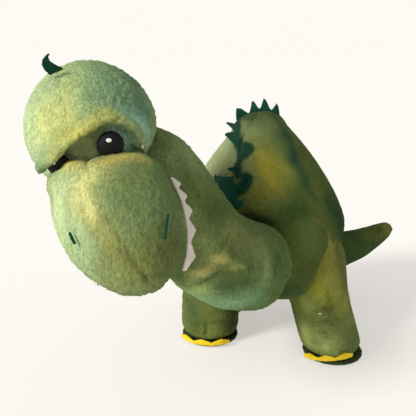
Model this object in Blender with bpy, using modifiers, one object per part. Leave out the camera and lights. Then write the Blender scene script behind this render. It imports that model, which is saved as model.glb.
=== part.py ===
"""A stuffed long-necked dinosaur, built as its sewn panels, fillings, felt trims and plastic eyes.

The frame is metres with +Z up. The toy faces -Y, its left side is +X, and it stands on Z = 0.
Each soft region is one Form: a smooth path with a rounded section. A region's filling is the
closed form moved inward, and its fabric panels are strips of the same form with a thickness.
"""

import math

import bmesh
import bpy
from mathutils import Matrix, Vector

MM = 0.001
CLOTH = 2.0 * MM
GAP = 0.6 * MM
SEAM_GAP = 1.8 * MM
FILLING_GAP = 2.4 * MM
FELT = 1.6 * MM

LEG_RADIUS = 31 * MM
FOOT_RADIUS = 32.5 * MM
SOLE_THICKNESS = 4 * MM
HEAD_YAW = math.radians(29)
HEAD_PITCH = math.radians(42)
HEAD_ROLL = math.radians(30)
HEAD_AT = Vector((-104, -222, 187)) * MM
MIDDLE = Vector((21, 64, 0)) * MM

COLOURS = {
    "plush_green": (0.16, 0.22, 0.07),
    "plush_light": (0.30, 0.38, 0.16),
    "plush_teal": (0.12, 0.24, 0.15),
    "plush_yellow": (0.42, 0.38, 0.10),
    "felt_green": (0.01, 0.09, 0.05),
    "felt_yellow": (0.80, 0.53, 0.01),
    "felt_cream": (0.80, 0.72, 0.62),
    "lining_pink": (0.62, 0.42, 0.36),
    "filling": (0.85, 0.85, 0.82),
    "plastic_black": (0.006, 0.006, 0.007),
    "plastic_white": (0.75, 0.75, 0.72),
}
ROUGHNESS = {"plastic_black": 0.12, "plastic_white": 0.45}


def new_collection(name):
    collection = bpy.data.collections.new(name)
    bpy.context.scene.collection.children.link(collection)
    return collection


def clear_scene():
    for obj in list(bpy.data.objects):
        bpy.data.objects.remove(obj, do_unlink=True)


def material(name):
    existing = bpy.data.materials.get(name)
    if existing:
        return existing
    made = bpy.data.materials.new(name)
    made.use_nodes = True
    shader = made.node_tree.nodes["Principled BSDF"]
    shader.inputs["Base Color"].default_value = (*COLOURS[name], 1)
    shader.inputs["Roughness"].default_value = ROUGHNESS.get(name, 0.95)
    shader.inputs["Metallic"].default_value = 0
    return made


def add_object(name, mesh_data, colour):
    obj = bpy.data.objects.new(name, mesh_data)
    PARTS.objects.link(obj)
    mesh_data.materials.append(material(colour))
    return obj


def add_mesh(name, shape, colour):
    """Makes an object of a bmesh, with its faces turned outward."""
    bmesh.ops.recalc_face_normals(shape, faces=shape.faces)
    mesh_data = bpy.data.meshes.new(name)
    shape.to_mesh(mesh_data)
    shape.free()
    return add_object(name, mesh_data, colour)


def smooth_value(values, t):
    """A Catmull-Rom curve through evenly spaced values, at t from 0 to 1."""
    last = len(values) - 1
    at = min(max(t, 0), 1) * last
    i = min(int(at), last - 1)
    f = at - i
    before, start = values[max(i - 1, 0)], values[i]
    end, after = values[i + 1], values[min(i + 2, last)]
    return 0.5 * (
        2 * start
        + (end - before) * f
        + (2 * before - 5 * start + 4 * end - after) * f * f
        + (3 * start - before - 3 * end + after) * f**3
    )


class Form:
    """A soft region: a path in millimetres, half sizes along it, and domed ends.

    wide, up and down are half sizes at even steps of the path. peak narrows the section's top.
    domes are the shares of the path that each rounded end takes, 0 for a flat end.
    left is the direction of the section's +90 degrees, and 0 degrees is its top. twist turns
    where 0 degrees lies, along the path. front fixes the top direction, for level sections.
    """

    def __init__(
        self, path, wide, up, down=None, peak=0.0, domes=(0.5, 0.5), left=(1, 0, 0), twist=(0, 0), front=None
    ):
        self.path = [Vector(p) * MM for p in path]
        self.wide = [w * MM for w in wide]
        self.up = [u * MM for u in up]
        self.down = [d * MM for d in (down or up)]
        self.peak = peak
        self.domes = domes
        self.left = Vector(left)
        self.twist = [math.radians(a) for a in twist]
        self.front = front and Vector(front)

    def dome(self, t):
        start, end = self.domes
        if start and t < start:
            return math.sqrt(max(1 - (1 - t / start) ** 2, 0))
        if end and t > 1 - end:
            return math.sqrt(max(1 - (1 - (1 - t) / end) ** 2, 0))
        return 1.0

    def section_axes(self, t):
        """The section's left and top directions at share t of the path."""
        if self.front:
            return self.left, self.front
        step = 0.02
        ahead = smooth_value(self.path, min(t + step, 1)) - smooth_value(self.path, max(t - step, 0))
        top = self.left.cross(ahead).normalized()
        if top.z < 0:
            top.negate()
        left = self.left - ahead * self.left.dot(ahead) / ahead.length_squared
        return left.normalized(), top

    def point(self, t, angle):
        """The surface point at share t of the path, angle in radians round from the ridge."""
        centre = smooth_value(self.path, t)
        left, top = self.section_axes(t)
        angle += smooth_value(self.twist, t)
        size = self.dome(t)
        height = smooth_value(self.up if math.cos(angle) > 0 else self.down, t)
        width = smooth_value(self.wide, t) * (1 - self.peak * max(math.cos(angle), 0))
        across = left * (size * width * math.sin(angle))
        return centre + across + top * (size * height * math.cos(angle))

    def steps(self, rings):
        """Ring places, closer together where an end is domed."""
        start, end = self.domes
        places = []
        for k in range(rings + 1):
            share = k / rings
            crowd = 0.13 * math.sin(2 * math.pi * share)
            if (start and share < 0.5) or (end and share > 0.5):
                share -= crowd
            places.append(share)
        return places


def closed_surface(form, rings, sides):
    """The whole form as one closed bmesh; a domed end closes on a point, a flat end on a face."""
    shape = bmesh.new()
    places = form.steps(rings)
    rows = []
    for k, t in enumerate(places):
        if form.dome(t) < 0.01:
            rows.append([shape.verts.new(form.point(t, 0))])
            continue
        angles = [2 * math.pi * s / sides for s in range(sides)]
        rows.append([shape.verts.new(form.point(t, a)) for a in angles])
    for row, following in zip(rows, rows[1:]):
        join_rows(shape, row, following, wraps=True)
    for row in (rows[0], rows[-1]):
        if len(row) > 1:
            shape.faces.new(row)
    bmesh.ops.recalc_face_normals(shape, faces=shape.faces)
    return shape


def join_rows(shape, row, following, wraps):
    count = max(len(row), len(following))
    for s in range(count if wraps else count - 1):
        n = (s + 1) % count
        if len(row) == 1:
            shape.faces.new((row[0], following[n], following[s]))
        elif len(following) == 1:
            shape.faces.new((row[s], row[n], following[0]))
        else:
            shape.faces.new((row[s], row[n], following[n], following[s]))


def move_inward(shape, distance):
    shape.normal_update()
    moves = [-v.normal * distance * v.calc_shell_factor() for v in shape.verts]
    for vert, move in zip(shape.verts, moves):
        vert.co += move


def filling(name, form, rings, sides, trim=CLOTH + FILLING_GAP):
    shape = closed_surface(form, rings, sides)
    move_inward(shape, trim)
    return add_mesh(name, shape, "filling")


def panel(name, form, colour, t_range, degrees, rings, sides):
    """A strip of the form's surface as cloth: t_range along it and degrees round it."""
    shape = bmesh.new()
    rows = []
    low, high = (math.radians(d) for d in degrees)
    whole = degrees[1] - degrees[0] >= 360
    for k in range(rings + 1):
        t = t_range[0] + (t_range[1] - t_range[0]) * k / rings
        radius = (form.point(t, low) - form.point(t, low + math.pi)).length / 2
        inset = 0 if whole else math.asin(min(SEAM_GAP / 2 / radius, 1))
        count = sides if whole else sides + 1
        span = high - low - 2 * inset
        angles = [low + inset + span * s / sides for s in range(count)]
        rows.append([shape.verts.new(form.point(t, a)) for a in angles])
    for row, following in zip(rows, rows[1:]):
        join_rows(shape, row, following, wraps=whole)
    bmesh.ops.recalc_face_normals(shape, faces=shape.faces)
    face = shape.faces[:][len(shape.faces) // 2]
    middle = smooth_value(form.path, sum(t_range) / 2)
    if face.normal.dot(face.calc_center_median() - middle) < 0:
        bmesh.ops.reverse_faces(shape, faces=shape.faces)
    mesh_data = bpy.data.meshes.new(name)
    shape.to_mesh(mesh_data)
    shape.free()
    obj = add_object(name, mesh_data, colour)
    solidify = obj.modifiers.new("cloth", "SOLIDIFY")
    solidify.thickness = CLOTH
    solidify.offset = -1
    solidify.use_even_offset = True
    return obj


def cutter(name, shape, place=None):
    """A hidden solid that sockets and holes are cut with."""
    bmesh.ops.recalc_face_normals(shape, faces=shape.faces)
    mesh_data = bpy.data.meshes.new(name)
    shape.to_mesh(mesh_data)
    shape.free()
    obj = bpy.data.objects.new(name, mesh_data)
    CUTTERS.objects.link(obj)
    obj.matrix_world = place or Matrix()
    obj.hide_render = True
    obj.display_type = "WIRE"
    return obj


def ball_cutter(name, centre, radius):
    shape = bmesh.new()
    bmesh.ops.create_uvsphere(shape, u_segments=24, v_segments=14, radius=radius)
    return cutter(name, shape, Matrix.Translation(centre))


def rod(radius, length, segments=16):
    shape = bmesh.new()
    bmesh.ops.create_cone(
        shape, cap_ends=True, segments=segments, radius1=radius, radius2=radius, depth=length
    )
    return shape


def modify(obj, tool, operation="DIFFERENCE"):
    boolean = obj.modifiers.new(operation.lower() + " " + tool.name, "BOOLEAN")
    boolean.operation = operation
    boolean.object = tool
    boolean.solver = "EXACT"
    return boolean


def between(start, end, share):
    return start + (end - start) * share


def felt_strip(name, stations, colour, thickness=FELT):
    """A felt trim as a band: each station is (root, tip, side), side across its thickness."""
    shape = bmesh.new()
    rows = []
    for root, tip, side in stations:
        half = side.normalized() * thickness / 2
        corners = (root - half, root + half, tip + half, tip - half)
        rows.append([shape.verts.new(c) for c in corners])
    for row, following in zip(rows, rows[1:]):
        join_rows(shape, row, following, wraps=True)
    shape.faces.new(rows[0])
    shape.faces.new(rows[-1])
    return add_mesh(name, shape, colour)


def spike_heights(spikes, low, high):
    """Heights of a row of spikes: a valley, a peak, a valley and so on."""
    return [low if k % 2 == 0 else high for k in range(2 * spikes + 1)]


def crest(name, form, line, fins):
    """Felt fins along a line of (t, degrees round) on a form: each is (height, lean in degrees)."""
    def on_form(place):
        t, degrees, _ = smooth_value(line, min(max(place, 0), 1))
        return form.point(t, math.radians(degrees)), t

    stations = []
    for k, (height, lean) in enumerate(fins):
        for share, rise in FIN_OUTLINE:
            place = (k + share) / len(fins)
            root, t = on_form(place)
            up = (root - smooth_value(form.path, t)).normalized()
            ahead = (on_form(place + 0.02)[0] - on_form(place - 0.02)[0]).normalized()
            left = ahead.cross(up).normalized()
            angle = math.radians(lean)
            out = up * math.cos(angle) + left * math.sin(angle)
            side = up * math.sin(angle) - left * math.cos(angle)
            tall = max(rise * height, CREST_BAND)
            tip = root + (out * tall - ahead * FIN_HOOK * rise * height) * MM
            stations.append((root + up * CREST_CLEARANCE, tip + up * CREST_CLEARANCE, side))
    return felt_strip(name, stations, "felt_green")


TORSO = Form(
    path=[(-6, -76, 112), (-13, -40, 122), (-14, 4, 130), (-10, 46, 124), (0, 86, 104)],
    wide=[50, 73, 91, 91, 62],
    up=[50, 88, 115, 92, 46],
    down=[38, 54, 66, 62, 40],
    peak=0.46,
    domes=(0.42, 0.46),
    twist=[-34, -30, -8, 14, 14],
)
NECK = Form(
    path=[(2, -52, 112), (-22, -92, 112), (-54, -125, 138), (-84, -141, 187), (-116, -146, 235)],
    wide=[42, 43, 40.5, 40, 42],
    up=[42, 43, 42, 42, 42],
    domes=(0.22, 0.2),
)
TAIL = Form(
    path=[(-2, 72, 85), (34, 97, 68), (78, 114, 60), (116, 116, 76), (146, 114, 99)],
    wide=[31, 30, 25.5, 17.5, 9],
    up=[31, 30, 25.5, 17.5, 9],
    domes=(0.165, 0.08),
    left=(0.6, 0.8, 0),
)
CROWN = Form(
    path=[(-2, 140, -1), (-2, 114, -1), (-2, 89, -1), (-2, 64, -1), (-2, 38, -1)],
    wide=[51, 51, 51, 51, 51],
    up=[51, 51, 51, 51, 51],
    domes=(0.5, 0.5),
)
MUZZLE = Form(
    path=[(0, 44, -4), (1, 22, -2), (6, -4, 0), (12, -30, -2), (17, -56, -6)],
    wide=[42, 44, 43, 41, 38],
    up=[30, 38, 42, 40, 36],
    down=[20, 20, 20, 18, 16],
    domes=(0.12, 0.55),
)
JAW = Form(
    path=[(0, 18, -33), (0, 2, -34), (0, -14, -34), (0, -30, -32)],
    wide=[26, 31, 31, 26],
    up=[8, 9, 9, 8],
    down=[10, 12, 12, 10],
    domes=(0.4, 0.5),
)
NECK_JOINT = Vector((-14, -80, 113)) * MM
HEAD_JOINT = Vector((-90, -143, 194)) * MM
TAIL_JOINT = Vector((21, 88, 75)) * MM
JAW_JOINT = Vector((0, 22, -28)) * MM
LEGS = {
    "front_left": ((46, -39, 72), (66, -35)),
    "front_right": ((-64, -26, 72), (-66, -15)),
    "hind_left": ((52, 37, 72), (61, 39)),
    "hind_right": ((-58, 50, 72), (-64, 58)),
}
BROW = [
    Vector(p)
    for p in ((-36, 43, 25), (-31, 41, 33), (-13, 40, 44), (8, 48, 46), (25, 53, 42), (37, 51, 25), (35, 46, 8))
]
SIDES = {"left": 1, "right": -1}
EYES = {"left": Vector((17, 45, 27.5)), "right": Vector((-19.5, 46.5, 26))}
CROWN_CENTRE = Vector((-2, 89, -1)) * MM
CLAWS = {
    "front_left": ((-58, 30), (1 * MM, 12 * MM)),
    "front_right": ((-56, 44), (4 * MM, 4 * MM)),
    "hind_left": ((-56, 44), (3 * MM, 3 * MM)),
    "hind_right": ((-56, 44), (3 * MM, 3 * MM)),
}
EYE_RADIUS = 9.5 * MM
SHANK_RADIUS = 2.5 * MM
SHANK_LENGTH = 14 * MM
WASHER_RADIUS = 8 * MM
WASHER_THICKNESS = 1.6 * MM
WASHER_DEPTH = 9 * MM
FIN_OUTLINE = ((0.0, 0.2), (0.3, 0.6), (0.55, 1.0), (0.72, 0.8), (0.88, 0.35))
FIN_HOOK = 0.3
CREST_BAND = 3
CREST_CLEARANCE = 2 * MM
BACK_LINE = [
    Vector((t, degrees, 0))
    for t, degrees in (
        (0.185, -12), (0.195, 2), (0.23, 6), (0.28, 4), (0.35, -2), (0.43, -12), (0.49, -18),
        (0.53, -10), (0.53, 2), (0.535, 14), (0.55, 22)
    )
]
BACK_FINS = (
    (20, -46), (15, 50), (17, -48), (14, 55), (15, -50), (13, -45), (15, -20), (14, 0), (14, 5), (12, 8)
)
NECK_LINE = [Vector((0.34, 0, 0)), Vector((0.53, 0, 0)), Vector((0.72, 0, 0))]
NECK_FINS = ((11, 20), (12, -25), (11, 20), (10, -20))
TOOTH_END = {"left": 0.93, "right": 0.72}
TOOTH_SPREAD = {"left": 0.55, "right": 0.1}
NOSTRILS = {"left": ((0.7, 0.81), (55, 44)), "right": ((0.54, 0.6), (-36, -38))}


def head_matrix():
    """The head's own frame: it faces -Y there, with +X its left and +Z its top."""
    turn = (
        Matrix.Rotation(HEAD_YAW, 4, "Z")
        @ Matrix.Rotation(HEAD_PITCH, 4, "X")
        @ Matrix.Rotation(-HEAD_ROLL, 4, "Y")
    )
    return Matrix.Translation(HEAD_AT) @ turn


def make_torso():
    left = panel("torso_left_panel", TORSO, "plush_green", (0.05, 0.95), (0, 132), 12, 10)
    right = panel("torso_right_panel", TORSO, "plush_light", (0.05, 0.95), (228, 360), 12, 10)
    belly = panel("belly_panel", TORSO, "plush_teal", (0.05, 0.95), (132, 228), 12, 6)
    core = filling("torso_filling", TORSO, 16, 24)
    sockets = [
        ball_cutter("neck_socket", NECK_JOINT + Vector((-6, -8, 1)) * MM, 51 * MM),
        ball_cutter("tail_socket", TAIL_JOINT, 34 * MM),
    ]
    for side, (hip, _) in LEGS.items():
        sockets.append(ball_cutter(f"{side}_hip_socket", Vector(hip) * MM, LEG_RADIUS + 2 * MM))
    for obj in (left, right, belly, core):
        for socket in sockets:
            modify(obj, socket)
    crest("back_crest", TORSO, BACK_LINE, BACK_FINS)


def leg_form(hip, foot, floor_gap):
    radius = LEG_RADIUS / MM
    foot_radius = FOOT_RADIUS / MM
    hip_at = Vector(hip)
    foot_at = Vector((*foot, floor_gap / MM))
    top = hip_at + Vector((0, 0, radius))
    return Form(
        path=[top, hip_at.lerp(top, 0.14), hip_at.lerp(foot_at, 0.5), foot_at],
        wide=[radius, radius, radius + 1, foot_radius],
        up=[radius, radius, radius + 1, foot_radius],
        domes=(0.3, 0),
        front=(0, -1, 0),
    )


def make_sole(side, foot):
    shape = rod(FOOT_RADIUS - 1.5 * MM, SOLE_THICKNESS, segments=20)
    bmesh.ops.translate(shape, verts=shape.verts, vec=Vector((*foot, SOLE_THICKNESS / MM / 2)) * MM)
    sole = add_mesh(f"leg_{side}_sole", shape, "felt_green")
    bevel = sole.modifiers.new("soft edge", "BEVEL")
    bevel.width = 1.2 * MM
    bevel.segments = 1


def make_claws(side, foot):
    """Three claws cut in one felt strip round the front of the foot."""
    stations = []
    heights = spike_heights(3, 3.5 * MM, 7 * MM)
    (first, last), rise = CLAWS[side]
    foot_at = Vector((*foot, 0)) * MM
    for k, height in enumerate(heights):
        share = k / (len(heights) - 1)
        angle = math.radians(between(first, last, share))
        outward = Vector((math.sin(angle), -math.cos(angle), 0))
        root = foot_at + outward * (FOOT_RADIUS + FELT / 2 + 3 * GAP) + Vector((0, 0, between(*rise, share)))
        stations.append((root, root + Vector((0, 0, height)), outward))
    felt_strip(f"leg_{side}_claws", stations, "felt_yellow")


def make_leg(side, hip, foot):
    form = leg_form(hip, foot, SOLE_THICKNESS + GAP)
    panel(f"leg_{side}_panel", form, "plush_green", (0.36, 1), (0, 360), 4, 14)
    filling(f"leg_{side}_filling", form, 8, 12)
    make_sole(side, foot)
    make_claws(side, foot)


def make_neck():
    upper = panel("neck_panel", NECK, "plush_light", (0.26, 0.78), (-125, 125), 7, 12)
    throat = panel("throat_panel", NECK, "plush_teal", (0.26, 0.78), (125, 235), 7, 6)
    core = filling("neck_filling", NECK, 12, 16)
    crest("neck_crest", NECK, NECK_LINE, NECK_FINS)
    return [upper, throat, core]


def make_tail():
    panel("tail_left_panel", TAIL, "plush_green", (0.2, 0.97), (0, 180), 8, 6)
    panel("tail_right_panel", TAIL, "plush_green", (0.2, 0.97), (180, 360), 8, 6)
    filling("tail_filling", TAIL, 10, 12)


def placed(objects):
    for obj in objects:
        obj.matrix_world = head_matrix() @ obj.matrix_world


def make_crown(socket):
    left = panel("crown_left_panel", CROWN, "plush_green", (0.07, 0.83), (0, 180), 9, 9)
    right = panel("crown_right_panel", CROWN, "plush_light", (0.07, 0.83), (180, 360), 9, 9)
    patch = panel("eye_patch", CROWN, "plush_teal", (0.84, 0.95), (0, 360), 2, 18)
    core = filling("crown_filling", CROWN, 12, 18)
    placed([left, right, patch, core])
    for obj in (left, right, patch, core):
        modify(obj, socket)
    return patch, core


def make_brow():
    """The rolled hem of the crown that overhangs the eyes."""
    points = 13
    curve = bpy.data.curves.new("brow_roll", "CURVE")
    curve.dimensions = "3D"
    curve.bevel_depth = 3 * MM
    curve.bevel_resolution = 2
    curve.use_fill_caps = True
    line = curve.splines.new("POLY")
    line.points.add(points - 1)
    for k, point in enumerate(line.points):
        point.co = (*smooth_value(BROW, k / (points - 1)) * MM, 1)
    placed([add_object("brow_roll", curve, "plush_yellow")])


def make_muzzle(socket):
    left = panel("muzzle_left_panel", MUZZLE, "plush_green", (0.05, 0.985), (0, 112), 9, 9)
    right = panel("muzzle_right_panel", MUZZLE, "plush_light", (0.05, 0.985), (248, 360), 9, 9)
    palate = panel("palate_lining", MUZZLE, "lining_pink", (0.05, 0.985), (117, 243), 9, 8)
    core = filling("muzzle_filling", MUZZLE, 12, 18)
    placed([left, right, palate, core])
    shape = bmesh.new()
    bmesh.ops.create_uvsphere(shape, u_segments=24, v_segments=14, radius=53.3 * MM)
    crown_hollow = cutter("crown_hollow", shape, head_matrix() @ Matrix.Translation(CROWN_CENTRE))
    for obj in (left, right, palate, core):
        modify(obj, crown_hollow)
    for obj in (palate, core):
        modify(obj, socket)
    for side, cloth in (("left", left), ("right", right)):
        seat = ball_cutter(f"eye_{side}_seat", head_matrix() @ (EYES[side] * MM), EYE_RADIUS + 1.4 * MM)
        modify(cloth, seat).use_self = True
        modify(core, seat)


def make_teeth(side, sign):
    """A zigzag felt strip sewn along the lip."""
    stations = []
    heights = spike_heights(5, 3 * MM, 8 * MM)
    for k, height in enumerate(heights):
        t = between(0.27, TOOTH_END[side], k / (len(heights) - 1))
        angle = math.radians(104) * sign
        root = MUZZLE.point(t, angle)
        ahead = MUZZLE.point(t + 0.02, angle) - MUZZLE.point(t - 0.02, angle)
        outward = Vector((TOOTH_SPREAD[side] * sign, 0, -0.7)).normalized()
        side_way = ahead.cross(outward)
        stations.append((root + outward * 1.6 * MM, root + outward * (height + 1.6 * MM), side_way))
    placed([felt_strip(f"teeth_{side}", stations, "felt_cream")])


def make_nostril(side):
    """A satin-stitched slit on the muzzle."""
    along, degrees = NOSTRILS[side]
    points = 6
    curve = bpy.data.curves.new(f"nostril_{side}", "CURVE")
    curve.dimensions = "3D"
    curve.bevel_depth = 1.1 * MM
    curve.bevel_resolution = 1
    curve.use_fill_caps = True
    line = curve.splines.new("POLY")
    line.points.add(points - 1)
    for k, point in enumerate(line.points):
        t = between(*along, k / (points - 1))
        angle = math.radians(between(*degrees, k / (points - 1)))
        at = MUZZLE.point(t, angle)
        outward = (at - smooth_value(MUZZLE.path, t)).normalized()
        point.co = (*(at + outward * 2.2 * MM), 1)
    placed([add_object(f"nostril_{side}", curve, "felt_green")])


def make_jaw(socket):
    outer = panel("jaw_panel", JAW, "plush_green", (0.06, 0.94), (88, 272), 6, 10)
    lining = panel("jaw_lining", JAW, "lining_pink", (0.06, 0.94), (-64, 64), 6, 8)
    core = filling("jaw_filling", JAW, 8, 12, trim=CLOTH + 2 * GAP)
    placed([outer, lining, core])
    for obj in (outer, lining, core):
        modify(obj, socket)


def eye_matrix(side):
    """The eye's frame: its +Z is the shank's axis, pointing out of the head."""
    at = EYES[side] * MM
    turn = (at - CROWN_CENTRE).to_track_quat("Z", "Y").to_matrix().to_4x4()
    return head_matrix() @ Matrix.Translation(at) @ turn


def make_eye(side, patch, core):
    """A safety eye: a domed button with a shank through the cloth, held by a washer behind it."""
    frame = eye_matrix(side)
    shape = bmesh.new()
    bmesh.ops.create_uvsphere(shape, u_segments=18, v_segments=12, radius=EYE_RADIUS)
    below = [f for f in shape.verts if f.co.z < -0.1 * MM]
    bmesh.ops.delete(shape, geom=below, context="VERTS")
    rim = [e for e in shape.edges if e.is_boundary]
    bmesh.ops.edgeloop_fill(shape, edges=rim)
    bmesh.ops.scale(shape, verts=shape.verts, vec=(1, 1, 0.62))
    bmesh.ops.translate(shape, verts=shape.verts, vec=(0, 0, 3.2 * MM))
    button = add_mesh(f"eye_{side}", shape, "plastic_black")
    button.matrix_world = frame
    shank = rod(SHANK_RADIUS, SHANK_LENGTH, segments=12)
    bmesh.ops.translate(shank, verts=shank.verts, vec=(0, 0, 3.6 * MM - SHANK_LENGTH / 2))
    modify(button, cutter(f"eye_{side}_shank", shank, frame), "UNION")

    hole = cutter(f"eye_{side}_hole", rod(SHANK_RADIUS + 0.5 * MM, 60 * MM, segments=12), frame)
    modify(patch, hole)
    pocket = rod(WASHER_RADIUS + 0.8 * MM, 20 * MM)
    bmesh.ops.translate(pocket, verts=pocket.verts, vec=(0, 0, -WASHER_DEPTH))
    modify(core, cutter(f"eye_{side}_pocket", pocket, frame))

    washer = rod(WASHER_RADIUS, WASHER_THICKNESS)
    bmesh.ops.translate(washer, verts=washer.verts, vec=(0, 0, -WASHER_DEPTH))
    disc = add_mesh(f"eye_washer_{side}", washer, "plastic_white")
    disc.matrix_world = frame
    modify(disc, hole)


def make_head_spike():
    """The first spike of the crest, a curled felt comma on the crown."""
    root = CROWN.point(0.34, 0)
    rise = (root - smooth_value(CROWN.path, 0.34)).normalized()
    across = Vector((1, 0, 0))
    side = Vector((0, 1, 0))
    outline = [(0, 0, 5.5), (6, -2, 4.5), (11, -2.5, 3.2), (15, -0.5, 2.2), (17.5, 3.5, 1.0)]
    stations = []
    for height, shift, half in outline:
        centre = root + (rise * (height + 1.8) + across * shift) * MM
        stations.append((centre - across * half * MM, centre + across * half * MM, side))
    placed([felt_strip("head_spike", stations, "felt_green")])


def pivot(name, at, members):
    """An empty on a joint's axis, which carries the pieces that move there."""
    empty = bpy.data.objects.new(name, None)
    PARTS.objects.link(empty)
    empty.location = at
    for obj in members:
        obj.parent = empty
        obj.matrix_parent_inverse = Matrix.Translation(-at)
    return empty


def named(*starts):
    return [obj for obj in PARTS.objects if obj.type != "EMPTY" and obj.name.startswith(starts)]


def hang_on_joints():
    """Parents each moving group to its joint, and the whole toy to its stand."""
    jaw = pivot("jaw_pivot", head_matrix() @ JAW_JOINT, named("jaw_"))
    loose = ("torso_", "belly_", "back_", "neck_", "throat_", "tail_", "leg_", "jaw_")
    skull = [obj for obj in named("") if not obj.name.startswith(loose)]
    head = pivot("head_pivot", HEAD_JOINT, [*skull, jaw])
    pivot("neck_pivot", NECK_JOINT, [*named("neck_", "throat_"), head])
    pivot("tail_pivot", TAIL_JOINT, named("tail_"))
    for side, (hip, _) in LEGS.items():
        pivot(f"{side}_hip", Vector(hip) * MM, named(f"leg_{side}_"))
    unparented = [obj for obj in (*PARTS.objects, *CUTTERS.objects) if not obj.parent]
    stand = pivot("stand", Vector(), unparented)
    stand.location = MIDDLE


def main():
    make_torso()
    make_neck()
    make_tail()
    for side, (hip, foot) in LEGS.items():
        make_leg(side, hip, foot)
    socket = ball_cutter("head_socket", HEAD_JOINT, 48 * MM)
    patch, core = make_crown(socket)
    make_brow()
    make_muzzle(socket)
    make_jaw(socket)
    for side, sign in SIDES.items():
        make_teeth(side, sign)
        make_nostril(side)
        make_eye(side, patch, core)
    make_head_spike()
    hang_on_joints()


clear_scene()
PARTS = new_collection("stuffed_dinosaur")
CUTTERS = new_collection("cutters")
main()
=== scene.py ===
"""The looks of the stuffed dinosaur: stuffed plush skins, felt trims and stitched eyes.

Lengths in the tables are millimetres in the shared frame: the toy faces -Y and its left is +X.
Points of the head's parts are in the head's own frame, turned and tilted as the head is.
"""

import math

import bmesh
import bpy
import numpy as np
from mathutils import Matrix, Vector
from mathutils.bvhtree import BVHTree


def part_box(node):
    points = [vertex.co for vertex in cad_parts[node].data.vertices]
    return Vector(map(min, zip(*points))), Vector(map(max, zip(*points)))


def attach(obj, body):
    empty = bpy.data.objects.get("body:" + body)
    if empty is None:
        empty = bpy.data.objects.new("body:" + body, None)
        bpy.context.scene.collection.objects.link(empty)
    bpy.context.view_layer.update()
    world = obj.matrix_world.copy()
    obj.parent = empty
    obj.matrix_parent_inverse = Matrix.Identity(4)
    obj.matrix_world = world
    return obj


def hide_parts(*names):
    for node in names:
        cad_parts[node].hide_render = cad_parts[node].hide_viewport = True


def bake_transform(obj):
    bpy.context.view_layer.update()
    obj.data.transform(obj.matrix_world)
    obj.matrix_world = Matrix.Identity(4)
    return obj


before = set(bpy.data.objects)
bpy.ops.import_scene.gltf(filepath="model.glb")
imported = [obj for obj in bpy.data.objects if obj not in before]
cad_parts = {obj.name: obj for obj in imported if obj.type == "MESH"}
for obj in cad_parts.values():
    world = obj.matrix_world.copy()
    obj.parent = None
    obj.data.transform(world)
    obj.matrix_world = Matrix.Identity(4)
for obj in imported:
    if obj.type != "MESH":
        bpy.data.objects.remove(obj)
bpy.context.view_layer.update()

MM = 0.001

FILL_TO_CLOTH = 4.4 * MM
VOXEL = 3.2 * MM
CLOTH_VOXEL = 5.0 * MM
CLOTH_FRAMES = 20
PUFF_LIMIT = 4.0 * MM
PUFF_PRESSURE = 4
HELD_BAND = 3 * MM
CLOTH_SETTLING = 4
SMOOTHING = 0.5
PILE_THICKNESS = 0.4 * MM

HEAD = (
    Matrix.Translation(Vector((-83, -158, 187)) * MM)
    @ Matrix.Rotation(math.radians(29), 4, "Z")
    @ Matrix.Rotation(math.radians(42), 4, "X")
    @ Matrix.Rotation(math.radians(-30), 4, "Y")
)


# ---------------------------------------------------------------- meshes

def link(obj):
    bpy.context.scene.collection.objects.link(obj)
    return obj


def mesh_object(name, shape):
    data = bpy.data.meshes.new(name)
    shape.to_mesh(data)
    shape.free()
    return link(bpy.data.objects.new(name, data))


def applied(obj):
    """Turns an object's modifiers into its mesh."""
    graph = bpy.context.evaluated_depsgraph_get()
    final = bpy.data.meshes.new_from_object(obj.evaluated_get(graph))
    old = obj.data
    obj.modifiers.clear()
    obj.data = final
    bpy.data.meshes.remove(old)
    return obj


def copy_of(name, nodes):
    """One object holding the meshes of some CAD nodes."""
    shape = bmesh.new()
    for node in nodes:
        shape.from_mesh(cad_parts[node].data)
    bmesh.ops.remove_doubles(shape, verts=shape.verts, dist=0.01 * MM)
    obj = mesh_object(name, shape)
    obj.data.materials.clear()
    return obj


def points_of(obj):
    co = np.empty(len(obj.data.vertices) * 3)
    obj.data.vertices.foreach_get("co", co)
    return co.reshape(-1, 3)


def normals_of(obj):
    normals = np.empty(len(obj.data.vertices) * 3, np.float32)
    obj.data.vertex_normals.foreach_get("vector", normals)
    return normals.reshape(-1, 3).astype(float)


def set_points(obj, points):
    obj.data.vertices.foreach_set("co", np.ascontiguousarray(points, float).ravel())
    obj.data.update()


def grow(obj, distance):
    set_points(obj, points_of(obj) + normals_of(obj) * distance)


def remesh(obj, voxel):
    modifier = obj.modifiers.new("voxels", "REMESH")
    modifier.mode = "VOXEL"
    modifier.voxel_size = voxel
    return applied(obj)


def smooth(obj, rounds):
    modifier = obj.modifiers.new("smooth", "SMOOTH")
    modifier.factor = SMOOTHING
    modifier.iterations = rounds
    return applied(obj)


def subdivide(obj):
    modifier = obj.modifiers.new("fine", "SUBSURF")
    modifier.levels = modifier.render_levels = 1
    return applied(obj)


def rough(obj, size, height):
    """Moves the surface in and out by a soft noise."""
    texture = bpy.data.textures.new(obj.name, "CLOUDS")
    texture.noise_scale = size
    texture.noise_depth = 2
    modifier = obj.modifiers.new("rough", "DISPLACE")
    modifier.texture = texture
    modifier.texture_coords = "LOCAL"
    modifier.strength = height
    modifier.mid_level = 0.5
    applied(obj)
    bpy.data.textures.remove(texture)


def shade_smooth(obj):
    obj.data.polygons.foreach_set("use_smooth", np.ones(len(obj.data.polygons), bool))


def world_points(points, place):
    return np.array([list(place @ (Vector(p) * MM)) for p in points])


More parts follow.
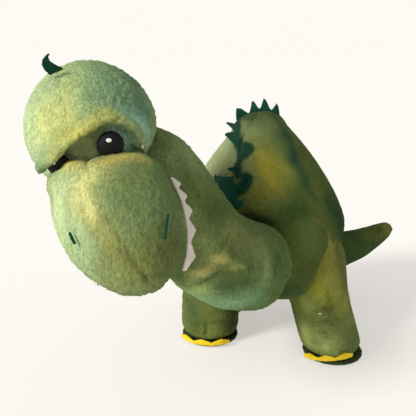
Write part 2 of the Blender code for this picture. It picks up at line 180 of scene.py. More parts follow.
def line_distance(points, line):
    """The distance from each point to a polyline."""
    nearest = np.full(len(points), np.inf)
    for start, end in zip(line, line[1:]):
        along = end - start
        share = np.clip((points - start) @ along / max(along @ along, 1e-12), 0, 1)
        nearest = np.minimum(nearest, np.linalg.norm(points - start - share[:, None] * along, axis=1))
    return nearest


def fold(obj, line, width, depth, place=Matrix()):
    """Presses a crease along a line into the surface, or raises it if depth is negative."""
    points = points_of(obj)
    away = line_distance(points, world_points(line, place)) / (width * MM)
    set_points(obj, points - normals_of(obj) * (depth * MM * np.exp(-away * away))[:, None])


def panel_distances(obj, panels):
    """How far each vertex is from each of the CAD panels, in metres."""
    trees = []
    for panel in panels:
        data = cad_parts[panel].data
        corners = [v.co for v in data.vertices]
        trees.append(BVHTree.FromPolygons(corners, [tuple(f.vertices) for f in data.polygons]))
    points = [Vector(p) for p in points_of(obj)]
    return np.array([[tree.find_nearest(p)[3] for tree in trees] for p in points])


def seam_gap(obj, panels):
    """Zero on a seam between two panels, and growing away from it."""
    ordered = np.sort(panel_distances(obj, panels), axis=1)
    return ordered[:, 1] - ordered[:, 0]


def press_seams(obj, panels, width, depth):
    gap = seam_gap(obj, panels) / (width * MM)
    set_points(obj, points_of(obj) - normals_of(obj) * (depth * MM * np.exp(-gap * gap))[:, None])


def raise_under(obj, node, height, width):
    """Lifts the cloth to meet the trim that is sewn on it."""
    gap = panel_distances(obj, [node])[:, 0] / (width * MM)
    set_points(obj, points_of(obj) + normals_of(obj) * (height * MM * np.exp(-gap * gap))[:, None])


def puff(obj, panels):
    """Inflates the cloth between its seams with a short pressure simulation."""
    start = points_of(obj)
    group = obj.vertex_groups.new(name="seam")
    held = np.exp(-((seam_gap(obj, panels) / HELD_BAND) ** 2))
    for index, weight in enumerate(held):
        group.add([index], float(weight), "REPLACE")
    cloth = obj.modifiers.new("cloth", "CLOTH")
    cloth.settings.quality = 5
    cloth.settings.mass = 0.2
    cloth.settings.use_pressure = True
    cloth.settings.uniform_pressure_force = PUFF_PRESSURE
    cloth.settings.vertex_group_mass = "seam"
    cloth.settings.effector_weights.gravity = 0
    scene = bpy.context.scene
    for number in range(1, CLOTH_FRAMES + 1):
        scene.frame_set(number)
    applied(obj)
    scene.frame_set(1)
    obj.vertex_groups.clear()
    moved = points_of(obj) - start
    length = np.linalg.norm(moved, axis=1, keepdims=True)
    capped = moved * np.minimum(1, PUFF_LIMIT / np.maximum(length, 1e-9))
    set_points(obj, start + capped)


# ---------------------------------------------------------------- dye and painted light and shade

SAGE = (0.30, 0.42, 0.19)
GREEN = (0.15, 0.22, 0.07)
OLIVE = (0.20, 0.22, 0.05)
MOSS = (0.11, 0.16, 0.035)
DEEP = (0.05, 0.09, 0.03)
MINT = (0.26, 0.44, 0.22)
PINK = (0.62, 0.44, 0.38)
FERN = (0.05, 0.11, 0.035)
FELT_DYE = (0.004, 0.05, 0.028)
TRIM_BAND = 4.0
LINE_WOBBLE = 0.1


def dye_and_paint_light(obj, base, patches, place=Matrix(), trim=None, lines=()):
    """Stores the cloth's colour, its dye together with painted light and shade: a base colour and soft
    patches of (point, radius, colour, strength), then soft lines of (points, width, colour, strength).
    The band on which a trim is sewn takes the trim's own dark green."""
    points = points_of(obj)
    colours = np.tile(np.array(base, float), (len(points), 1))
    local = points @ np.array(place.inverted().to_3x3()).T + np.array(place.inverted().translation)
    wander = patch_wander(points)
    for centre, radius, colour, strength in patches:
        reach = np.array(radius, float) * np.ones(3)
        offset = (local / MM + wander - np.array(centre)) / reach
        share = (strength * np.exp(-(offset**2).sum(1)))[:, None]
        colours = colours * (1 - share) + np.array(colour) * share
    for line, width, colour, strength in lines:
        away = line_distance(local + wander * LINE_WOBBLE * MM, world_points(line, Matrix())) / (width * MM)
        share = (strength * np.exp(-away * away))[:, None]
        colours = colours * (1 - share) + np.array(colour) * share
    if trim:
        near = panel_distances(obj, [trim])[:, :1] / (TRIM_BAND * MM)
        share = np.exp(-(near**6))
        colours = colours * (1 - share) + np.array(FELT_DYE) * share
    store(obj, "dye_and_painted_light", colours, "FLOAT_COLOR")


def patch_wander(points):
    """A smooth wobble in millimetres, so that no patch of dye or of painted light and shade has a clean
    outline.
    """
    x, y, z = (points / MM).T
    return np.stack(
        [
            4 * np.sin(y / 11 + z / 17) + 2 * np.sin(z / 5.3 + x / 8),
            4 * np.sin(z / 13 + x / 9) + 2 * np.sin(x / 6.1 - y / 7),
            4 * np.sin(x / 12 - y / 15) + 2 * np.sin(y / 5.7 + z / 9),
        ],
        axis=1,
    )


def store(obj, name, values, kind):
    """Writes a colour or a vector for each vertex as a mesh attribute."""
    old = obj.data.attributes.get(name)
    if old:
        obj.data.attributes.remove(old)
    attribute = obj.data.attributes.new(name, kind, "POINT")
    if kind == "FLOAT_COLOR":
        values = np.hstack([values, np.ones((len(values), 1))])
        attribute.data.foreach_set("color", values.astype(np.float32).ravel())
    else:
        attribute.data.foreach_set("vector", values.astype(np.float32).ravel())


# ---------------------------------------------------------------- materials

CLUMP_SHARE = 0.22
PLUSH_SHEEN = (0.75, 0.95, 0.45)


class Nodes:
    """A short way to write a material's nodes."""

    def __init__(self, name):
        self.material = bpy.data.materials.new(name)
        self.material.use_nodes = True
        self.tree = self.material.node_tree
        self.shader = self.tree.nodes["Principled BSDF"]

    def add(self, kind, inputs=None, **settings):
        node = self.tree.nodes.new(kind)
        for key, value in settings.items():
            setattr(node, key, value)
        for key, value in (inputs or {}).items():
            self.feed(node.inputs[key], value)
        return node

    def feed(self, socket, value):
        if isinstance(value, bpy.types.NodeSocket):
            self.tree.links.new(value, socket)
        elif isinstance(value, tuple) and socket.type == "RGBA":
            socket.default_value = (*value, 1)
        else:
            socket.default_value = value

    def noise(self, vector, scale, detail=3.0, rough=0.6):
        inputs = {"Vector": vector, "Scale": scale, "Detail": detail, "Roughness": rough}
        return self.add("ShaderNodeTexNoise", inputs).outputs["Fac"]

    def stretched(self, vector, scale, rotation=(0, 0, 0)):
        inputs = {"Vector": vector, "Scale": scale, "Rotation": rotation}
        return self.add("ShaderNodeMapping", inputs).outputs["Vector"]

    def ramp(self, factor, low, high, at=(0.3, 0.7)):
        """Maps a share from low to high, which may be numbers or colours."""
        inputs = {"Value": factor, "From Min": at[0], "From Max": at[1]}
        share = self.add("ShaderNodeMapRange", inputs)
        if isinstance(low, tuple):
            mix = self.add("ShaderNodeMix", data_type="RGBA")
            self.feed(mix.inputs[0], share.outputs[0])
            self.feed(mix.inputs[6], low)
            self.feed(mix.inputs[7], high)
            return mix.outputs[2]
        share.inputs["To Min"].default_value = low
        share.inputs["To Max"].default_value = high
        return share.outputs[0]

    def scaled_colour(self, colour, factor):
        """A colour made lighter or darker by a factor that varies over the surface."""
        grey = self.add("ShaderNodeCombineColor", {"Red": factor, "Green": factor, "Blue": factor})
        mix = self.add("ShaderNodeMix", data_type="RGBA", blend_type="MULTIPLY")
        mix.inputs[0].default_value = 1
        self.feed(mix.inputs[6], colour)
        self.feed(mix.inputs[7], grey.outputs["Color"])
        return mix.outputs[2]

    def bump(self, height, strength, distance):
        inputs = {"Height": height, "Strength": strength, "Distance": distance}
        self.feed(self.shader.inputs["Normal"], self.add("ShaderNodeBump", inputs).outputs["Normal"])

    def add_up(self, first, second, weight):
        part = self.add("ShaderNodeMath", operation="MULTIPLY_ADD")
        self.feed(part.inputs[0], second)
        self.feed(part.inputs[1], weight)
        self.feed(part.inputs[2], first)
        return part.outputs[0]

    def finish(self, **values):
        for key, value in values.items():
            self.feed(self.shader.inputs[key.replace("_", " ")], value)
        return self.material


def plush(name, pile, strokes, contrast):
    """Pile fabric: dye and painted light and shade from the mesh, pile strokes, fuzz and a soft sheen."""
    nodes = Nodes(name)
    rest = nodes.add("ShaderNodeAttribute", attribute_name="rest").outputs["Vector"]
    dye_and_painted_light = nodes.add("ShaderNodeAttribute", attribute_name="dye_and_painted_light").outputs["Color"]
    combed = nodes.stretched(rest, (1, 1, strokes), (0.3, 0.25, 0))
    fibres = nodes.noise(combed, pile, 4, 0.7)
    clumps = nodes.noise(rest, pile * CLUMP_SHARE, 2, 0.5)
    both = nodes.add_up(nodes.ramp(fibres, 0.0, 1.0), clumps, 0.9)
    shade = nodes.ramp(both, 1 - contrast, 1 + contrast, (0.35, 1.4))
    nodes.bump(both, strength=1.0, distance=2.6 * MM)
    return nodes.finish(
        Base_Color=nodes.scaled_colour(dye_and_painted_light, shade),
        Roughness=0.95,
        Sheen_Weight=0.06,
        Sheen_Roughness=0.5,
        Sheen_Tint=PLUSH_SHEEN,
        Specular_IOR_Level=0.05,
    )


def felt(name, colour, light, sheen=0.05):
    """Pressed felt: matted fibres with lighter flecks."""
    nodes = Nodes(name)
    where = nodes.add("ShaderNodeTexCoord").outputs["Object"]
    fibres = nodes.noise(nodes.stretched(where, (1, 1, 0.5)), 900, 4, 0.75)
    blotches = nodes.noise(where, 120, 2, 0.5)
    both = nodes.add_up(fibres, blotches, 0.5)
    nodes.bump(both, strength=0.8, distance=0.6 * MM)
    return nodes.finish(
        Base_Color=nodes.ramp(both, colour, light, (0.5, 1.05)),
        Roughness=0.95,
        Sheen_Weight=sheen,
        Sheen_Roughness=0.5,
        Specular_IOR_Level=0.1,
    )


def thread_black(name):
    """A dull black eye whose fine grain catches a little light."""
    nodes = Nodes(name)
    where = nodes.add("ShaderNodeTexCoord").outputs["Object"]
    grain = nodes.noise(where, 1400, 3, 0.6)
    nodes.bump(grain, strength=0.35, distance=0.4 * MM)
    return nodes.finish(
        Base_Color=nodes.ramp(grain, (0.003, 0.003, 0.004), (0.012, 0.012, 0.014)),
        Roughness=0.6,
        Specular_IOR_Level=0.15,
    )


def moulded(name, colour):
    """Hard white plastic with a faint moulding grain."""
    nodes = Nodes(name)
    where = nodes.add("ShaderNodeTexCoord").outputs["Object"]
    grain = nodes.noise(where, 600, 2, 0.5)
    nodes.bump(grain, strength=0.15, distance=0.2 * MM)
    paler = tuple(min(1, c * 1.1) for c in colour)
    return nodes.finish(Base_Color=nodes.ramp(grain, colour, paler), Roughness=0.45)


FUR = plush("long pile plush", pile=480, strokes=0.5, contrast=0.32)
VELOUR = plush("short pile plush", pile=640, strokes=0.5, contrast=0.28)
FELT_GREEN = felt("dark green felt", (0.002, 0.03, 0.016), (0.008, 0.075, 0.04))
FELT_YELLOW = felt("yellow felt", (0.62, 0.40, 0.006), (0.90, 0.66, 0.03))
FELT_CREAM = felt("cream felt", (0.62, 0.53, 0.45), (0.80, 0.73, 0.66))
THREAD_WHITE = felt("white thread", (0.70, 0.70, 0.66), (0.88, 0.88, 0.84))
EYE_BLACK = thread_black("black eye")
WASHER_WHITE = moulded("white plastic", (0.72, 0.72, 0.70))


# ---------------------------------------------------------------- skins

def finish_skin(obj, material, nodes, body=None, blend=None):
    """Stores the rest position, gives the material, and ties the skin to its body; a skin that spans two
    bodies only has its placement baked into the mesh.
    """
    store(obj, "rest", points_of(obj), "FLOAT_VECTOR")
    shade_smooth(obj)
    obj.data.materials.clear()
    obj.data.materials.append(material)
    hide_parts(*nodes)
    if blend:
        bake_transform(obj)
    else:
        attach(obj, body)


def ball(shape, centre, radius):
    """Adds a ball to a solid that is about to be remeshed, so that it becomes a soft bulge."""
    place = Matrix.Translation(centre)
    bmesh.ops.create_icosphere(shape, subdivisions=2, radius=radius, matrix=place)


def stuffed(name, core, panels, bulges=(), rounds=8, voxel=VOXEL, puffed=True, growth=FILL_TO_CLOTH):
    """The cloth over a filling: its solid grown to the cloth, puffed between the seams and made fine."""
    obj = copy_of(name, core)
    grow(obj, growth)
    if puffed:
        remesh(obj, CLOTH_VOXEL)
        smooth(obj, CLOTH_SETTLING)
        puff(obj, panels)
    if bulges:
        shape = bmesh.new()
        shape.from_mesh(obj.data)
        for centre, radius in bulges:
            ball(shape, centre, radius)
        shape.to_mesh(obj.data)
        shape.free()
    remesh(obj, voxel)
    smooth(obj, rounds)
    grow(obj, PILE_THICKNESS)
    subdivide(obj)
    return obj


def make_torso():
    panels = ("torso_left_panel", "torso_right_panel", "belly_panel")
    chest = [(Vector(at) * MM, radius * MM) for at, radius in CHEST]
    obj = stuffed("torso_skin", ["torso_filling"], panels, chest, rounds=9)
    press_seams(obj, panels, width=2.5, depth=1.6)
    for line, width, depth in TORSO_FOLDS:
        fold(obj, line, width, depth)
    raise_under(obj, "back_crest", height=6.0, width=10)
    rough(obj, size=4.0 * MM, height=1.1 * MM)
    dye_and_paint_light(obj, MOSS, TORSO_DYE, trim="back_crest", lines=TORSO_LINES)
    finish_skin(obj, VELOUR, (*panels, "torso_filling"), body="torso")
    make_crest_flaps(obj)


def make_neck():
    panels = ("neck_panel", "throat_panel")
    nape = [(Vector(NAPE[0]) * MM, NAPE[1] * MM)]
    obj = stuffed("neck_skin", ["neck_filling"], panels, nape, rounds=8)
    press_seams(obj, panels, width=2.5, depth=2.0)
    for line, width, depth in NECK_FOLDS:
        fold(obj, line, width, depth)
    rough(obj, size=3.2 * MM, height=2.4 * MM)
    dye_and_paint_light(obj, GREEN, NECK_DYE_AND_HIGHLIGHT, lines=NECK_LINES)
    blend = ("torso", "neck", (14, 8, 110), (-14, -44, 128))
    finish_skin(obj, FUR, (*panels, "neck_filling"), blend=blend)


def make_tail():
    panels = ("tail_left_panel", "tail_right_panel")
    obj = stuffed("tail_skin", ["tail_filling"], panels, rounds=8)
    press_seams(obj, panels, width=1.8, depth=1.2)
    rough(obj, size=4.0 * MM, height=0.6 * MM)
    dye_and_paint_light(obj, FERN, TAIL_DYE)
    blend = ("torso", "tail", (26, 142, 84), (70, 166, 68))
    finish_skin(obj, VELOUR, (*panels, "tail_filling"), blend=blend)


def smooth_line(points, count):
    """Points spread evenly along a smooth curve through the given ones."""
    points = [Vector(p) for p in points]
    ends = [2 * points[0] - points[1], *points, 2 * points[-1] - points[-2]]
    line = []
    for k in range(count):
        place = k / (count - 1) * (len(points) - 1)
        step = min(int(place), len(points) - 2)
        share = place - step
        before, start, end, after = ends[step : step + 4]
        bend = (end - before) * share + (2 * before - 5 * start + 4 * end - after) * share**2
        bend += (3 * start - before - 3 * end + after) * share**3
        line.append(start + bend / 2)
    return line


BROW_POINTS = 46
BROW_STEPS = 4
BROW_RADII = (4.0, 5.0)
BROW_ROOT_RADIUS = 46.5


def brow_balls():
    """The brow: the crown's cloth swells out to a thick rolled edge above the eyes."""
    balls = []
    for point in smooth_line(BROW, BROW_POINTS):
        up = Vector((-0.25 * point.x, 15, 15))
        root = CROWN_CENTRE + BROW_ROOT_RADIUS * (point - CROWN_CENTRE + up).normalized()
        for k in range(BROW_STEPS + 1):
            share = k / BROW_STEPS
            balls.append((HEAD @ (point.lerp(root, share) * MM), between(*BROW_RADII, share) * MM))
    return balls


def make_crown():
    panels = ("crown_left_panel", "crown_right_panel")
    nodes = (*panels, "eye_patch", "crown_filling", "brow_roll")
    obj = stuffed("crown_skin", ["crown_filling"], panels, brow_balls(), rounds=4, voxel=2.4 * MM)
    press_seams(obj, panels, width=2.0, depth=1.4)
    rough(obj, size=3.0 * MM, height=2.2 * MM)
    dye_and_paint_light(obj, SAGE, CROWN_DYE_AND_LIGHT, HEAD, lines=CROWN_LINES)
    finish_skin(obj, FUR, nodes, body="head")


def make_muzzle():
    panels = ("muzzle_left_panel", "muzzle_right_panel", "palate_lining")
    cheek = [(HEAD @ (Vector(at) * MM), radius * MM) for at, radius in CHEEK]
    obj = stuffed("muzzle_skin", ["muzzle_filling"], panels, cheek, rounds=8)
    press_seams(obj, panels, width=2.2, depth=1.8)
    rough(obj, size=3.0 * MM, height=2.1 * MM)
    dye_and_paint_light(obj, GREEN, MUZZLE_DYE_AND_LIGHT, HEAD, lines=MUZZLE_LINES)
    finish_skin(obj, FUR, (*panels, "muzzle_filling"), body="head")


def make_jaw():
    panels = ("jaw_panel", "jaw_lining")
    obj = stuffed(
        "jaw_skin", ["jaw_filling"], panels, rounds=3, voxel=2.2 * MM, puffed=False, growth=3.0 * MM
    )
    rough(obj, size=3.5 * MM, height=1.0 * MM)
    dye_and_paint_light(obj, MINT, [((0, -8, -24), (40, 40, 8), PINK, 1.0)], HEAD)
    finish_skin(obj, FUR, (*panels, "jaw_filling"), body="jaw")


LEG_RADIUS = 33
HIP_HEIGHT = 74
THIGH_STEPS = 4
THIGH_RADII = (31.5, 27)
RING_RADIUS = 34
# Both colours below are painted shade in the leg's pressed grooves: along its front seam and in its wrinkle
# rings.
SEAM_PAINTED_SHADE = (0.05, 0.08, 0.02)
CREASE_PAINTED_SHADE = (0.09, 0.12, 0.03)


def make_leg(side):
    low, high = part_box(f"leg_{side}_sole")
    foot = (low + high) / 2 / MM
    panel = f"leg_{side}_panel"
    low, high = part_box(f"leg_{side}_filling")
    top = (low + high) / 2 / MM
    hip = Vector((2 * top.x - foot.x, 2 * top.y - foot.y, HIP_HEIGHT))
    reach = Vector(THIGH_REACH[side])
    thigh = [
        ((hip + reach * k / THIGH_STEPS) * MM, between(*THIGH_RADII, k / THIGH_STEPS) * MM)
        for k in range(THIGH_STEPS + 1)
    ]
    sides = (panel, f"leg_{side}_sole")
    obj = stuffed(f"leg_{side}_skin", [f"leg_{side}_filling"], sides, thigh, rounds=8)
    front = [
        (foot.x, foot.y - LEG_RADIUS, 4),
        (between(foot.x, top.x, 0.5), foot.y - LEG_RADIUS, 40),
        (top.x, foot.y - LEG_RADIUS + 2, 80),
    ]
    fold(obj, front, width=2.0, depth=2.4)
    # Dark lines of painted shade along the pressed seam and in each wrinkle ring, deeper wrinkles darker.
    painted_crease_shade = [(front, 1.6, SEAM_PAINTED_SHADE, 0.75)]
    for height, depth in LEG_WRINKLES:
        ring = [
            (
                foot.x + RING_RADIUS * math.sin(a / 10),
                foot.y - RING_RADIUS * math.cos(a / 10),
                height + 3 * math.sin(a / 3),
            )
            for a in range(-14, 15, 2)
        ]
        fold(obj, ring, width=3.2, depth=depth)
        painted_crease_shade.append((ring, 2.2, CREASE_PAINTED_SHADE, depth / 5))
    rough(obj, size=4.0 * MM, height=0.9 * MM)
    # The leg's cloth turns darker towards the bottom of the foot.
    darker_foot_band = [((foot.x, foot.y, 0), (60, 60, 7), (0.06, 0.11, 0.03), 0.9)]
    dye_and_paint_light(obj, OLIVE, LEG_DYE_AND_SHADE[side] + darker_foot_band, lines=painted_crease_shade)
    blend = ("torso", f"leg_{side}", (top.x, top.y, 90), (foot.x, foot.y, 62))
    finish_skin(obj, VELOUR, (panel, f"leg_{side}_filling"), blend=blend)


def between(start, end, share):
    return start + (end - start) * share


# ---------------------------------------------------------------- trims

TRIM_VOXEL = 0.7 * MM
LUMP_SIZE = 3.0 * MM
BEAD_LUMP_SIZE = 1.2 * MM
CREST_SINK = 3 * MM
FLAP_THICKNESS = 1.8 * MM
EYE_DEPTH = 8.0
GLINT_RISE = 4.6

def soft_piece(name, node, material, body, voxel=TRIM_VOXEL, rounds=2, lumps=0.3 * MM):
    """A CAD trim with its edges softened and its surface made uneven."""
    obj = copy_of(name, [node])
    remesh(obj, voxel)
    smooth(obj, rounds)
    rough(obj, size=LUMP_SIZE, height=lumps)
    shade_smooth(obj)
    obj.data.materials.append(material)
    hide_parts(node)
    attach(obj, body)
    return obj


def make_sole(side):
    sole = f"leg_{side}_sole"
    obj = soft_piece(sole + "_skin", sole, VELOUR, f"leg_{side}", voxel=1.2 * MM)
    dye_and_paint_light(obj, DEEP, [])
    store(obj, "rest", points_of(obj), "FLOAT_VECTOR")


def make_trims():
    crest = soft_piece("back_crest_felt", "back_crest", FELT_GREEN, "torso")
    set_points(crest, points_of(crest) - np.array([0, 0, CREST_SINK]))
    soft_piece("neck_crest_felt", "neck_crest", FELT_GREEN, "neck")
    soft_piece("head_spike_felt", "head_spike", FELT_GREEN, "head")
    for side in ("left", "right"):
        soft_piece(f"teeth_{side}_felt", f"teeth_{side}", FELT_CREAM, "head")
        nostril = f"nostril_{side}"
        soft_piece(nostril + "_stitch", nostril, FELT_GREEN, "head", voxel=0.5 * MM)
    for side in LEGS:
        claws = f"leg_{side}_claws"
        soft_piece(
            claws + "_felt", claws, FELT_YELLOW, f"leg_{side}",
            voxel=0.6 * MM, rounds=7, lumps=0.8 * MM,
        )
        make_sole(side)


def bead(name, at, facing, radii, material, body, lumps=0.15 * MM):
    """A small flat oval of stitches at a point, lying across the facing direction."""
    shape = bmesh.new()
    turn = Vector(facing).to_track_quat("Z", "Y").to_matrix().to_4x4()
    place = Matrix.Translation(at) @ turn @ Matrix.Diagonal((*(Vector(radii) * MM), 1))
    bmesh.ops.create_icosphere(shape, subdivisions=3, radius=1, matrix=place)
    obj = mesh_object(name, shape)
    rough(obj, size=BEAD_LUMP_SIZE, height=lumps)
    shade_smooth(obj)
    obj.data.materials.append(material)
    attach(obj, body)


def make_crest_flaps(skin):
    """The two squarish felt flaps in which the crest ends, lying on the torso's right flank."""
    data = skin.data
    corners = [v.co for v in data.vertices]
    tree = BVHTree.FromPolygons(corners, [tuple(f.vertices) for f in data.polygons])
    for name, outline in CREST_FLAPS.items():
        first, second, third, fourth = (Vector(p) * MM for p in outline)
        shape = bmesh.new()
        rows = []
        for i in range(FLAP_STEPS + 1):
            row = []
            for j in range(FLAP_STEPS + 1):
                top = first.lerp(second, i / FLAP_STEPS)
                bottom = fourth.lerp(third, i / FLAP_STEPS)
                at, normal, _, _ = tree.find_nearest(top.lerp(bottom, j / FLAP_STEPS))
                row.append(shape.verts.new(at + normal * FLAP_LIFT * MM))
            rows.append(row)
        for row, following in zip(rows, rows[1:]):
            for j in range(FLAP_STEPS):
                shape.faces.new((row[j], row[j + 1], following[j + 1], following[j]))
        bmesh.ops.recalc_face_normals(shape, faces=shape.faces)
        obj = mesh_object(name, shape)
        solidify = obj.modifiers.new("felt", "SOLIDIFY")
        solidify.thickness = FLAP_THICKNESS
        solidify.offset = 0
        applied(obj)
        remesh(obj, TRIM_VOXEL)
        smooth(obj, 2)
        rough(obj, size=LUMP_SIZE, height=0.5 * MM)
        shade_smooth(obj)
        obj.data.materials.append(FELT_GREEN)
        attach(obj, "torso")


def make_thread_ends():
    """Two loose ends of sewing thread, one on a leg's seam and one at the end of the brow."""
    knee = Vector((70, -6, 58)) * MM
    facing = (0.1, -1, 0.1)
    bead("leg_thread_end", knee, facing, (1.9, 0.7, 0.7), THREAD_WHITE, "leg_front_left")
    brow = HEAD @ (Vector((35.5, 44, 12)) * MM)
    facing = HEAD.to_3x3() @ Vector((0.6, -1, 0))
    bead("brow_thread_end", brow, facing, (1.0, 1.6, 0.7), THREAD_WHITE, "head")


def make_eyes():
    for side in ("left", "right"):
        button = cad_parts[f"eye_{side}"]
        button.data.materials.clear()
        button.data.materials.append(EYE_BLACK)
        shade_smooth(button)
        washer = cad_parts[f"eye_washer_{side}"]
        washer.data.materials.clear()
        washer.data.materials.append(WASHER_WHITE)
        out = EYES[side] - CROWN_CENTRE
        out = (HEAD.to_3x3() @ out).normalized()
        up = HEAD.to_3x3() @ Vector((0, 0.5, 1))
        up = (up - out * up.dot(out)).normalized()
        glint = HEAD @ (EYES[side] * MM) + (out * EYE_DEPTH + up * GLINT_RISE) * MM
        facing = out + up * 0.45
        bead(f"eye_{side}_glint", glint, facing, (1.9, 1.5, 0.7), THREAD_WHITE, "head")


# ---------------------------------------------------------------- tables

EYES = {"left": Vector((17, 45, 27.5)), "right": Vector((-19.5, 46.5, 26))}
LEGS = ("front_left", "front_right", "hind_left", "hind_right")
NAPE = ((-77, -65, 224), 20)
CHEST = (((34, 4, 103), 35), ((44, 14, 122), 33), ((-30, 10, 100), 34))
THIGH_REACH = {
    "front_left": (-14, 8, 44),
    "front_right": (14, 8, 40),
    "hind_left": (-14, -6, 40),
    "hind_right": (14, -6, 40),
}
CROWN_CENTRE = Vector((-2, 89, -1))
CHEEK = (((-23, 31, 22), 12), ((-10, 32, 29), 10))
BROW = (
    (-34, 45, 30), (-27, 41, 38), (-13, 40, 44.5), (8, 48, 46), (25, 53, 42), (37, 51, 25), (35, 46, 8)
)
LEG_WRINKLES = ((66, 3.2), (52, 2.6), (40, 2.0), (27, 1.2))
FLAP_STEPS = 8
FLAP_LIFT = 1.6
CREST_FLAPS = {
    "crest_flap_high": ((-52, 12, 196), (-18, 2, 190), (-12, -4, 176), (-40, 8, 172)),
    "crest_flap_low": ((-42, 8, 178), (-8, -4, 184), (-6, -6, 164), (-28, 2, 156)),
}

# Folds: points, width and depth; a negative depth is a ridge.
TORSO_FOLDS = [
    ([(62, 12, 132), (76, 30, 112), (86, 46, 98)], 3.2, 4.5),
    ([(40, -2, 140), (54, 6, 118), (62, 4, 100)], 3.6, 3.6),
    ([(50, 4, 150), (66, 14, 124), (82, 34, 100)], 6, -2.6),
    ([(52, 24, 200), (66, 26, 170), (80, 40, 140)], 7, 1.2),
    ([(24, 4, 196), (34, 6, 170), (40, 4, 148)], 8, 0.9),
]
NECK_FOLDS = [
    ([(36, -36, 152), (42, -38, 126), (36, -44, 102)], 17, 7.0),
    ([(28, -46, 158), (32, -54, 132), (27, -62, 104)], 3.0, 4.5),
    ([(8, -76, 167), (9, -80, 146), (6, -83, 124), (-6, -86, 102)], 2.8, 4.0),
    ([(-15, -88, 128), (-20, -92, 112), (-30, -84, 96)], 3.0, 2.0),
    ([(-34, -92, 136), (-22, -100, 150), (-8, -92, 166)], 4.0, 1.8),
    ([(-30, -108, 190), (-24, -100, 180), (-10, -82, 182)], 5.0, 1.4),
]

# Lines of dye, of painted shade in creases and of painted highlight: points, width, colour and strength.
TORSO_LINES = [
    (
        [(20, 62, 242), (35, 46, 228), (46, 27, 204), (56, 22, 184), (64, 26, 166)],
        5.5, (0.012, 0.06, 0.036), 0.85,
    ),
    ([(58, 50, 214), (74, 44, 184), (86, 48, 150), (92, 60, 120)], 5, (0.02, 0.07, 0.03), 0.8),
    ([(44, 36, 222), (52, 26, 200), (62, 24, 180)], 3, (0.26, 0.27, 0.05), 0.7),
    ([(58, 10, 132), (68, 20, 114), (78, 32, 97)], 5, (0.70, 0.60, 0.11), 0.95),
    # Dark lines of painted shade in two of the torso's pressed folds.
    ([(62, 18, 138), (73, 29, 118), (84, 40, 98)], 2.4, (0.015, 0.05, 0.02), 0.85),
    ([(40, -2, 140), (54, 6, 118), (62, 4, 100)], 3, (0.03, 0.06, 0.02), 0.6),
]
NECK_LINES = [
    # Dark lines of painted shade in two of the neck's pressed creases.
    ([(28, -46, 158), (32, -54, 132), (27, -62, 104)], 2.6, (0.035, 0.07, 0.02), 0.85),
    ([(8, -76, 167), (9, -80, 146), (6, -83, 124), (-6, -86, 102)], 2.4, (0.05, 0.09, 0.03), 0.75),
    ([(20, -60, 158), (22, -66, 136), (18, -72, 112)], 4, (0.40, 0.44, 0.14), 0.7),
    # A painted highlight along the same neck ridge, then a line of painted shade under it.
    ([(-44, -94, 124), (-34, -99, 130), (-23, -102, 138), (-12, -97, 146)], 3.2, (0.56, 0.52, 0.16), 0.7),
    ([(-42, -93, 118), (-30, -98, 124), (-18, -99, 132)], 2.2, (0.08, 0.12, 0.03), 0.7),
]
CROWN_LINES = [
    ([(-15, 40, 43), (8, 48, 46), (25, 53, 42)], 7, (0.66, 0.64, 0.16), 0.8),
    ([(25, 53, 42), (37, 51, 25), (35, 46, 8)], 7, (0.40, 0.46, 0.15), 0.7),
]
MUZZLE_LINES = [
    ([(-4, 32, 42), (-3, 10, 42), (-1, -12, 40)], 4, (0.95, 0.90, 0.36), 0.8),
    ([(-12, 34, 36), (8, 34, 41), (26, 32, 34), (40, 28, 20)], 5, (0.76, 0.66, 0.15), 0.9),
]

# Patches of dye, some of them painted light and painted shade: centre, radii, colour and strength.
TORSO_DYE = [
    ((-45, 60, 190), (48, 60, 70), (0.48, 0.54, 0.28), 1.0),
    ((-30, 40, 150), (20, 30, 18), (0.10, 0.16, 0.06), 0.8),
    ((4, 78, 244), (26, 26, 13), (0.045, 0.07, 0.028), 1.0),
    ((16, 2, 198), (15, 22, 20), (0.36, 0.31, 0.03), 1.0),
    ((-4, 66, 236), (13, 22, 16), (0.035, 0.07, 0.03), 1.0),
    ((31, 14, 196), (14, 18, 14), (0.28, 0.28, 0.045), 0.9),
    ((6, 10, 170), (14, 22, 14), (0.22, 0.21, 0.035), 0.9),
    ((30, 40, 228), (9, 26, 9), (0.02, 0.075, 0.04), 1.0),
    ((44, 30, 210), (9, 18, 12), (0.015, 0.065, 0.035), 1.0),
    ((56, 22, 188), (9, 18, 14), (0.02, 0.075, 0.035), 0.95),
    ((56, 50, 212), (10, 22, 16), (0.13, 0.15, 0.03), 0.85),
    ((70, 34, 176), (8, 20, 18), (0.12, 0.15, 0.03), 0.9),
    ((80, 40, 150), (7, 20, 16), (0.02, 0.065, 0.025), 0.9),
    ((42, 6, 158), (16, 16, 18), (0.05, 0.10, 0.02), 0.9),
    ((64, 22, 152), (10, 14, 14), (0.13, 0.15, 0.03), 0.8),
    ((90, 62, 132), (14, 34, 34), (0.025, 0.07, 0.02), 1.0),
    ((44, 0, 132), (14, 14, 14), (0.09, 0.13, 0.03), 0.8),
    ((60, 16, 132), (7, 10, 12), (0.40, 0.37, 0.07), 1.0),
    ((70, 28, 116), (10, 12, 12), (0.52, 0.46, 0.085), 1.0),
    ((79, 44, 100), (10, 14, 12), (0.55, 0.48, 0.10), 1.0),
    ((52, -8, 102), (12, 14, 12), (0.09, 0.12, 0.025), 0.9),
    ((40, -24, 84), (16, 16, 12), (0.05, 0.10, 0.035), 0.9),
    ((60, -2, 84), (12, 14, 10), (0.30, 0.32, 0.05), 0.9),
    ((92, 30, 86), (12, 20, 14), (0.06, 0.12, 0.035), 0.9),
]
